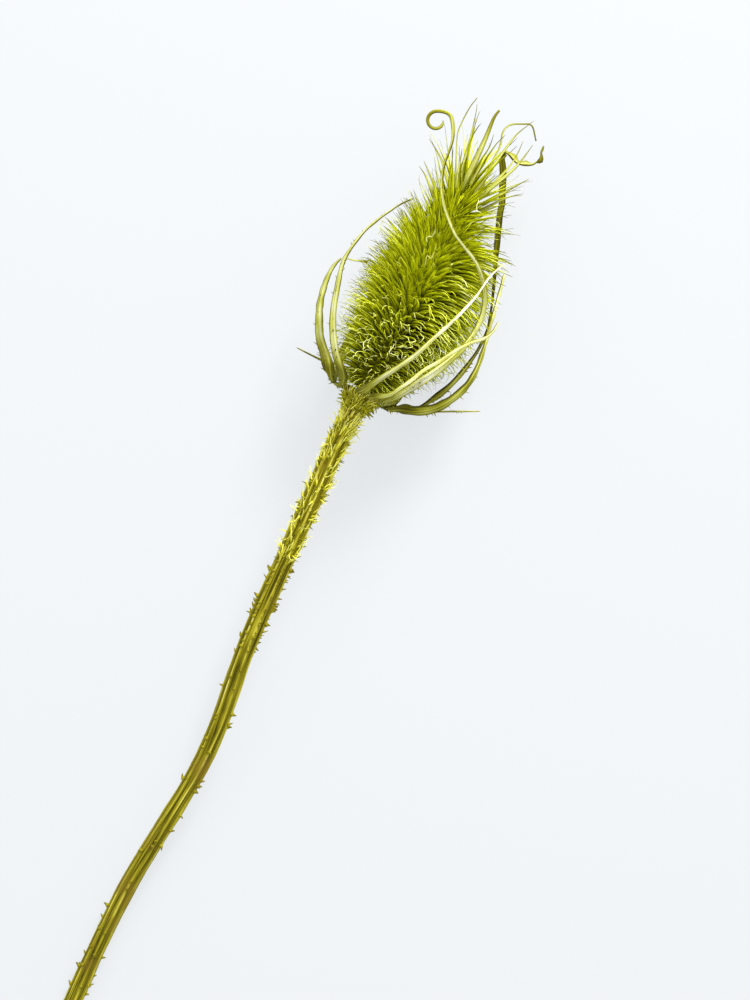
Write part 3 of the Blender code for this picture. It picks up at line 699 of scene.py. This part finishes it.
def bract(name, material, widths, twist, fold, tones, bleached_or_highlit, rolled_from=PAST_THE_TIP,
          crumpled_from=PAST_THE_TIP, **_):
    """A long thin blade: a roof-shaped section of half width w, whose ridge stands fold * w over its edges,
    carried along the bract's line and turned by its twist. It swells at its root, its edges wave a little,
    and it carries small thorns. Near the table it turns to lie flat. Where it is rolled, the section turns
    into a circle of the same width, and where it is crumpled, it runs to and fro. Its colour is darker along
    its middle and its edges, and below. It is darker at its root too, partly its own olive-brown and partly
    painted shade where it meets the head, and paler where real bleaching or a painted highlight makes it so."""
    draw = np.random.default_rng([SEEDS["bracts"], sum(map(ord, name))])
    line, out = BRACT_LINES[name]
    line = softened(line, 3)
    line[:, 2] = np.maximum(line[:, 2], LOWEST_LINE)
    run = distances(line)
    share = run / run[-1]
    way = unit(np.gradient(line, axis=0))
    lying = rise(LIES_BELOW - line[:, 2], 0, 0.7 * LIES_BELOW)[:, None]
    out = unit(softened(out, 10)) * (1 - lying) + np.array([0, 0, -1.0]) * lying
    facing = unit(out - way * dot(out, way))
    turn = np.radians(even(np.atleast_1d(twist), share))
    turn = turn * rise(share, *TWIST_GROWS) * (1 - 0.3 * rise(share, *TWIST_EASES))
    if fold:
        turn = turn + 0.14 * np.sin(share * 9 + draw.uniform(0, 6)) * rise(share, 0, 0.3)
    facing = facing * np.cos(turn)[:, None] + np.cross(way, facing) * np.sin(turn)[:, None]
    across = np.cross(facing, way)

    swelling = ROOT_SWELLING * np.exp(-(((run - ROOT_SWELLS_AT) / ROOT_SWELLS_OVER) ** 2))
    half = even(widths, share) * MM / 2 * (1 + swelling)
    half = half * (1 + 0.025 * np.sin(share * 43 + draw.uniform(0, 6)) + 0.02 * np.sin(share * 97))
    half = half * (1 - 0.6 * rise(share, *TIP_NARROWS))
    crumple = 4 * np.abs((run / CRUMPLE_STEP) % 1 - 0.5) - 1
    crumple = rise(share, crumpled_from, CRUMPLES_OVER) * crumple
    line = line + across * (crumple * CRUMPLE_SIZE)[:, None]
    half = (half * (1 + CRUMPLE_SWELLING * crumple))[:, None]
    x = np.concatenate([BLADE_ACROSS, BLADE_ACROSS[::-1]])
    upper = np.repeat([1, -1], len(BLADE_ACROSS))
    wave = 0.1 * np.sin(share * 61 + draw.uniform(0, 6))[:, None] * x * np.abs(x)
    gutters = 0.1 * np.cos(np.pi * 2.2 * x) * upper
    lift = (fold * (1 - np.abs(x)) + (wave if fold else 0) + gutters) * half
    thick = np.minimum(BLADE_THICKNESS * (1.2 - 0.65 * x**2), half * 1.5)
    flat_deep = lift + thick / 2 * upper - BLADE_THICKNESS / 2
    rolled = rise(share, rolled_from, ROLLS_OVER)[:, None]
    turn_round = (np.arange(len(x)) + 0.5) / len(x) * TWO_PI
    wide = half * (x * (1 - rolled) + np.cos(turn_round) * rolled)
    deep = flat_deep * (1 - rolled) + half * np.sin(turn_round) * rolled

    stripe = 0.7 - 0.26 * np.exp(-((x / 0.2) ** 2)) - 0.6 * rise(np.abs(x), 0.6, 0.4) - 0.2 * (upper < 0)
    stripe = stripe * (1 - rolled) + rolled * (0.4 + 0.22 * np.sin(turn_round))
    # Darker towards the root: partly its own olive-brown, partly painted shade where it meets the head.
    shade = stripe * (0.35 + 0.65 * rise(run, *PALE_GROWS))[:, None]
    # Paleness from real bleaching and partly a painted highlight; below 0, an olive tint.
    shade = shade + 0.08 * np.sin(share * 37 + draw.uniform(0, 6))[:, None] + even(bleached_or_highlit, share)[:, None]
    tone = even(tones, share)
    points, quads, fields = sweep(
        line[None], across[None], facing[None], wide[None], deep[None],
        shade=shade[None], tone=tone[None, :, None], run=run[None, :, None], side=x)
    points[:, 2] = np.maximum(points[:, 2], 0)

    number = int(run[-1] / THORN_SPACING)
    at = np.sort(0.02 + 0.85 * draw.random(number) ** 1.3)
    index = (at * (len(line) - 1)).astype(int)
    edge = draw.choice([-1.0, 1.0, 0.0], number, p=THORNS_ON_EDGES_AND_KEEL)
    root = line[index] + across[index] * (edge[:, None] * half[index])
    root = root + facing[index] * ((edge == 0)[:, None] * fold * half[index])
    lean = across[index] * edge[:, None] + facing[index] * (0.25 + (edge == 0))[:, None] + way[index] * 0.5
    lean = unit(lean + draw.normal(0, 0.2, (number, 3)))
    length = draw.uniform(0.4, 1.1, number) * MM * (1.4 - 0.9 * at)
    thorns = prickle_sweep(root, lean, length, length * 0.19, (0.3, 0.3, 0.25, 0.2, 0.15), tone[index])
    piece(name + "_blade", [(points, quads, fields), thorns], material, "bracts", name)


def rib_drift(along):
    """How far the ribs have wandered round the stem, in radians, this far along it."""
    return RIB_DRIFT * np.sin(along / RIB_DRIFT_OVER)


def rib_shape(angle, along):
    """1 on a rib's crest, and falling steeply and then gently to -1 in the groove between two ribs."""
    return 1 - 2 * np.abs(np.sin(STEM_RIBS / 2 * (angle + rib_drift(along)))) ** RIB_SHARPNESS


def stem_ripple(angle, along):
    """The stem's radius as a share of the plain one: its ribs, and fine lines between them."""
    fine = 0.016 * np.sin(23 * angle + 2 * np.sin(along / (9 * MM))) + 0.01 * np.sin(37 * angle)
    return 1 + RIB_DEPTH * (rib_shape(angle, along) * 0.8 + 0.1) + fine


def stem(material, bristle_material):
    """The stem: its radius times the ripple of its ribs, along its line and out into the cup. Its skin has
    broad thorns on its ribs, and its cut end a paler, sunken pith. Bristles crowd on its upper end, as a
    second piece."""
    draw = np.random.default_rng(SEEDS["stem"])
    line = smooth_route([HEAD_BASE + np.array(point) * MM for point in STEM_ROUTE], STEM_LINE_STEP)
    walk = distances(line)
    length = walk[-1]
    neck_ahead, neck_radius = np.array(NECK_PROFILE).T * MM
    plain = np.arange(0, length + neck_ahead[0] - STEM_RING_STEP / 2, STEM_RING_STEP)
    neck = np.linspace(0, len(neck_ahead) - 1, NECK_RINGS)
    stops = np.concatenate([plain, length + np.interp(neck, np.arange(len(neck_ahead)), neck_ahead)])
    radii = STEM_RADIUS_LOW + (STEM_RADIUS_HIGH - STEM_RADIUS_LOW) * (plain / length) ** 2
    radii = radii * (1 + 0.02 * np.sin(plain / (7 * MM)) + 0.012 * np.sin(plain / (2.3 * MM)))
    radii = np.concatenate([radii, np.interp(neck, np.arange(len(neck_radius)), neck_radius)])
    stops = np.concatenate([[PITH_DEPTH, 0, 0], stops])
    radii = np.concatenate([radii[:1] * 0.5, radii[:1] * 0.6, radii[:1] * 0.93, radii])
    on_line = np.clip(stops, 0, length)
    centre = np.column_stack([np.interp(on_line, walk, line[:, axis]) for axis in range(3)])
    ways = np.gradient(line, axis=0)
    way = unit(np.column_stack([np.interp(on_line, walk, ways[:, axis]) for axis in range(3)]))
    centre = centre + way * (stops - on_line)[:, None]
    left = unit(np.cross([0, 0, 1.0], way))
    up = np.cross(way, left)

    turn = np.linspace(0, TWO_PI, STEM_CORNERS, endpoint=False)
    rib = rib_shape(turn[None], stops[:, None])
    ripple = stem_ripple(turn[None], stops[:, None]) + draw.normal(0, STEM_ROUGHNESS, rib.shape)
    radius = radii[:, None] * ripple
    # Painted light on the ribs' crests and painted shade in the grooves between them.
    shade = 0.4 + 0.3 * rib
    shade[:3] = np.array([0.85, 0.9, 0.75])[:, None]
    points, quads, fields = sweep(
        centre[None], left[None], up[None], (radius * np.cos(turn))[None], (radius * np.sin(turn))[None],
        shade=shade[None], tone=1, run=stops[None, :, None], side=np.sin(turn) * 3)
    points[:, 2] = np.maximum(points[:, 2], 0)

    def crop(number, first, last, sizes, slender, ahead, shades, ribs):
        """Prickles from the first place to the last, more of them near the last, on the ribs or all round."""
        low = max(length - first * MM, BARE_END)
        high = length - last * MM
        at = high - (high - low) * draw.random(number) ** 1.4
        index = np.searchsorted(stops[3:], at).clip(0, len(stops) - 8) + 3
        angle = draw.uniform(0, TWO_PI, number)
        if ribs:
            drift = rib_drift(stops[index])
            angle = np.round((angle + drift) * STEM_RIBS / TWO_PI) * TWO_PI / STEM_RIBS - drift
        out = left[index] * np.cos(angle)[:, None] + up[index] * np.sin(angle)[:, None]
        root = centre[index] + out * (radii[index] * stem_ripple(angle, stops[index]) * 0.96)[:, None]
        lean = out + way[index] * draw.normal(*ahead, number)[:, None]
        lean = unit(lean + draw.normal(0, 0.2, (number, 3)))
        long = draw.uniform(*sizes, number) * MM
        bend = draw.uniform(-0.5, 0.5, number)
        return prickle_sweep(root, lean, long, long * slender, shades, draw.uniform(0.85, 1.2, number), bend)

    skin = [(points, quads, fields)] + [crop(**kind, ribs=True) for kind in STEM_THORNS]
    bristles = [crop(**kind, ribs=False) for kind in STEM_BRISTLES] + [cup_scales(draw)]
    piece("stem_skin", skin, material, "stem", "stem")
    piece("stem_bristles", bristles, bristle_material, "stem", "stem")


def cup_scales(draw):
    """Short pointed scales that stand out round the cup under the head."""
    out = around_axis(np.arange(CUP_SCALES) * GOLDEN_ANGLE)
    ahead = draw.uniform(*CUP_SCALES_AHEAD, CUP_SCALES)
    root = HEAD_BASE + out * (np.interp(ahead, CUP_AHEAD, CUP_RADII) * MM)[:, None]
    root = root + np.outer(ahead, AHEAD * MM)
    lean = out + np.outer(draw.uniform(-0.6, 0.8, CUP_SCALES), AHEAD)
    lean = unit(lean + draw.normal(0, 0.2, (CUP_SCALES, 3)))
    long = draw.uniform(1.2, 3.0, CUP_SCALES) * MM
    shades = (0.4, 0.55, 0.5, 0.3, 0.2)
    return prickle_sweep(root, lean, long, long * 0.15, shades, draw.uniform(0.75, 1.15, CUP_SCALES))


class Nodes:
    """Adds nodes to one material, and links them as it goes."""

    def __init__(self, material):
        self.tree = material.node_tree

    def add(self, kind, inputs=None, **settings):
        """A node of this kind with these settings. An input is a number, a colour or a node's socket."""
        node = self.tree.nodes.new(kind)
        for name, value in settings.items():
            setattr(node, name, value)
        for name, value in (inputs or {}).items():
            if isinstance(value, bpy.types.NodeSocket):
                self.tree.links.new(value, node.inputs[name])
            else:
                node.inputs[name].default_value = value
        return node

    def field(self, name):
        """A number that the mesh carries."""
        return self.add("ShaderNodeAttribute", attribute_name=name).outputs["Fac"]

    def maths(self, operation, a, b):
        """Arithmetic with two numbers or sockets."""
        return self.add("ShaderNodeMath", {0: a, 1: b}, operation=operation).outputs["Value"]

    def remap(self, value, low, high, to_low, to_high):
        """The value, moved from one range to another and kept inside it."""
        ranges = {"Value": value, "From Min": low, "From Max": high, "To Min": to_low, "To Max": to_high}
        return self.add("ShaderNodeMapRange", ranges).outputs["Result"]

    def ramp(self, value, stops):
        """Colours along a ramp of (place, colour) stops."""
        node = self.add("ShaderNodeValToRGB", {"Fac": value})
        elements = node.color_ramp.elements
        while len(elements) < len(stops):
            elements.new(0.5)
        for element, (place, colour) in zip(elements, stops):
            element.position = place
            element.color = (*colour, 1)
        return node.outputs["Color"]


def plant_material(name, stops, dry_colour, dry_from, streaks_long, streaks_across, streak, mottle,
                   roughness):
    """Dry plant tissue: a colour ramp by the shade of each corner, with fine streaks that follow the piece,
    soft mottling, dried patches of another colour, and the streaks' relief. The streaks and the mottling are
    noise, and streaks_long, streaks_across and mottle say how fine."""
    material = bpy.data.materials.new(name)
    material.use_nodes = True
    nodes = Nodes(material)
    shader = material.node_tree.nodes["Principled BSDF"]
    shader.inputs["Roughness"].default_value = roughness
    shader.inputs["Specular IOR Level"].default_value = 0.08
    run = nodes.maths("MULTIPLY", nodes.field("run"), streaks_long)
    side = nodes.maths("MULTIPLY", nodes.field("side"), streaks_across)
    tone = nodes.field("tone")
    place = nodes.add("ShaderNodeCombineXYZ", {"X": run, "Y": side, "Z": tone}).outputs["Vector"]
    streaks = nodes.add("ShaderNodeTexNoise", {"Vector": place, "Scale": 1, "Detail": 3}).outputs["Fac"]
    where = nodes.add("ShaderNodeTexCoord").outputs["Object"]
    patches = nodes.add("ShaderNodeTexNoise", {"Vector": where, "Scale": mottle, "Detail": 4}).outputs["Fac"]

    shade = nodes.maths("ADD", nodes.field("shade"), nodes.remap(streaks, 0.3, 0.7, -streak, streak))
    colour = nodes.ramp(shade, stops)
    dryness = nodes.remap(patches, dry_from, dry_from + 0.16, 0, 0.75)
    dried = nodes.add("ShaderNodeMix", {"Factor": dryness}, data_type="RGBA", blend_type="MIX")
    nodes.tree.links.new(colour, dried.inputs[6])
    dried.inputs[7].default_value = (*dry_colour, 1)
    lightness = nodes.maths("MULTIPLY", tone, nodes.remap(patches, 0.3, 0.7, 1.1, 0.88))
    tint = nodes.add("ShaderNodeHueSaturation", {"Color": dried.outputs[2], "Value": lightness})
    nodes.tree.links.new(tint.outputs["Color"], shader.inputs["Base Color"])
    relief = nodes.add("ShaderNodeBump", {"Height": streaks, "Strength": 0.4, "Distance": 0.1 * MM})
    nodes.tree.links.new(relief.outputs["Normal"], shader.inputs["Normal"])
    return material


def table():
    """A pale table top just under the plant."""
    bpy.ops.mesh.primitive_plane_add(size=TABLE_SIZE, location=(0, 0, -TABLE_DROP))
    top = bpy.context.active_object
    top.name = "table_top"
    material = bpy.data.materials.new("pale_table")
    material.use_nodes = True
    shader = material.node_tree.nodes["Principled BSDF"]
    shader.inputs["Base Color"].default_value = (0.16, 0.165, 0.17, 1)
    shader.inputs["Roughness"].default_value = 0.9
    shader.inputs["Specular IOR Level"].default_value = 0.1
    shader.inputs["Emission Color"].default_value = (0.95, 0.975, 1, 1)
    shader.inputs["Emission Strength"].default_value = 0.7
    top.data.materials.append(material)


def picture_ways():
    """The ways that are right and up in the picture."""
    right = np.array([math.cos(AXIS_IN_PICTURE), -math.sin(AXIS_IN_PICTURE), 0])
    up = np.array([math.sin(AXIS_IN_PICTURE), math.cos(AXIS_IN_PICTURE), 0])
    return right, up


def lamp(name, aside, above, near, size, power, colour):
    """A square lamp that faces the head, this far to its right, up the picture from it and above it."""
    right, up = picture_ways()
    place = HEAD_BASE + right * aside + up * above + np.array([0, 0, near])
    data = bpy.data.lights.new(name, "AREA")
    data.shape = "SQUARE"
    data.size = size
    data.energy = power
    data.color = colour
    obj = bpy.data.objects.new(name, data)
    obj.location = place
    obj.rotation_euler = Vector(HEAD_BASE - place).to_track_quat("-Z", "Y").to_euler()
    bpy.context.scene.collection.objects.link(obj)


def light():
    """A white sky, a key lamp up to the right of the picture and a weak one to the left."""
    world = bpy.data.worlds.new("pale_sky")
    world.use_nodes = True
    background = world.node_tree.nodes["Background"]
    background.inputs["Color"].default_value = (0.96, 0.98, 1, 1)
    background.inputs["Strength"].default_value = 0.75
    bpy.context.scene.world = world
    lamp("key", aside=0.35, above=0.75, near=0.6, size=0.3, power=13, colour=(1, 0.99, 0.97))
    lamp("fill", aside=-0.6, above=0.2, near=0.8, size=0.8, power=2, colour=(0.97, 0.98, 1))
    bpy.context.scene.view_settings.view_transform = "Standard"


def camera():
    """Straight above, turned so that the head's axis leans in the picture as the real one does."""
    right, up = picture_ways()
    aside = (PICTURE_WIDE / 2 - HEAD_BASE_PIXEL[0]) * PIXEL
    above = (HEAD_BASE_PIXEL[1] - PICTURE_HIGH / 2) * PIXEL
    distance = PICTURE_HIGH * PIXEL / SENSOR_MM * LENS_MM
    turned = np.eye(4)
    turned[:3, 0], turned[:3, 1] = right, up
    turned[:3, 3] = HEAD_BASE + right * aside + up * above + np.array([0, 0, distance])
    data = bpy.data.cameras.new("camera")
    data.sensor_fit = "VERTICAL"
    data.sensor_height = SENSOR_MM
    data.lens = LENS_MM
    obj = bpy.data.objects.new("camera", data)
    obj.matrix_world = Matrix(turned.tolist())
    bpy.context.scene.collection.objects.link(obj)
    bpy.context.scene.camera = obj


camera()
light()
table()
straw = plant_material(
    "pale_bracts",
    stops=((0.0, (0.10, 0.09, 0.002)), (0.2, (0.25, 0.235, 0.005)), (0.42, (0.46, 0.46, 0.03)),
           (0.65, (0.72, 0.74, 0.2)), (0.85, (0.88, 0.89, 0.5)), (1.0, (0.97, 0.97, 0.88))),
    dry_colour=(0.36, 0.31, 0.03), dry_from=0.6, streaks_long=45, streaks_across=7, streak=0.3, mottle=130,
    roughness=0.6)
dyed = plant_material(
    "dyed_spines",
    stops=((0.0, (0.055, 0.057, 0.0008)), (0.2, (0.2, 0.208, 0.001)), (0.42, (0.52, 0.555, 0.002)),
           (0.62, (0.75, 0.8, 0.015)), (0.8, (0.88, 0.92, 0.13)), (1.0, (0.95, 0.96, 0.45))),
    dry_colour=(0.45, 0.33, 0.01), dry_from=0.66, streaks_long=140, streaks_across=1, streak=0.1, mottle=150,
    roughness=0.75)
yellow = plant_material(
    "yellow_bristles",
    stops=((0.0, (0.05, 0.05, 0.001)), (0.25, (0.18, 0.17, 0.002)), (0.5, (0.42, 0.4, 0.006)),
           (0.75, (0.76, 0.72, 0.03)), (1.0, (0.92, 0.9, 0.22))),
    dry_colour=(0.3, 0.24, 0.01), dry_from=0.66, streaks_long=45, streaks_across=3, streak=0.1, mottle=90,
    roughness=0.7)
olive = plant_material(
    "olive_stem",
    stops=((0.0, (0.055, 0.046, 0.001)), (0.25, (0.2, 0.17, 0.004)), (0.5, (0.41, 0.36, 0.018)),
           (0.75, (0.66, 0.6, 0.11)), (1.0, (0.9, 0.86, 0.42))),
    dry_colour=(0.25, 0.17, 0.015), dry_from=0.55, streaks_long=55, streaks_across=8, streak=0.36, mottle=90,
    roughness=0.7)

head(dyed, straw)
for name, values in BRACTS.items():
    bract(name, straw, **values)
stem(olive, yellow)
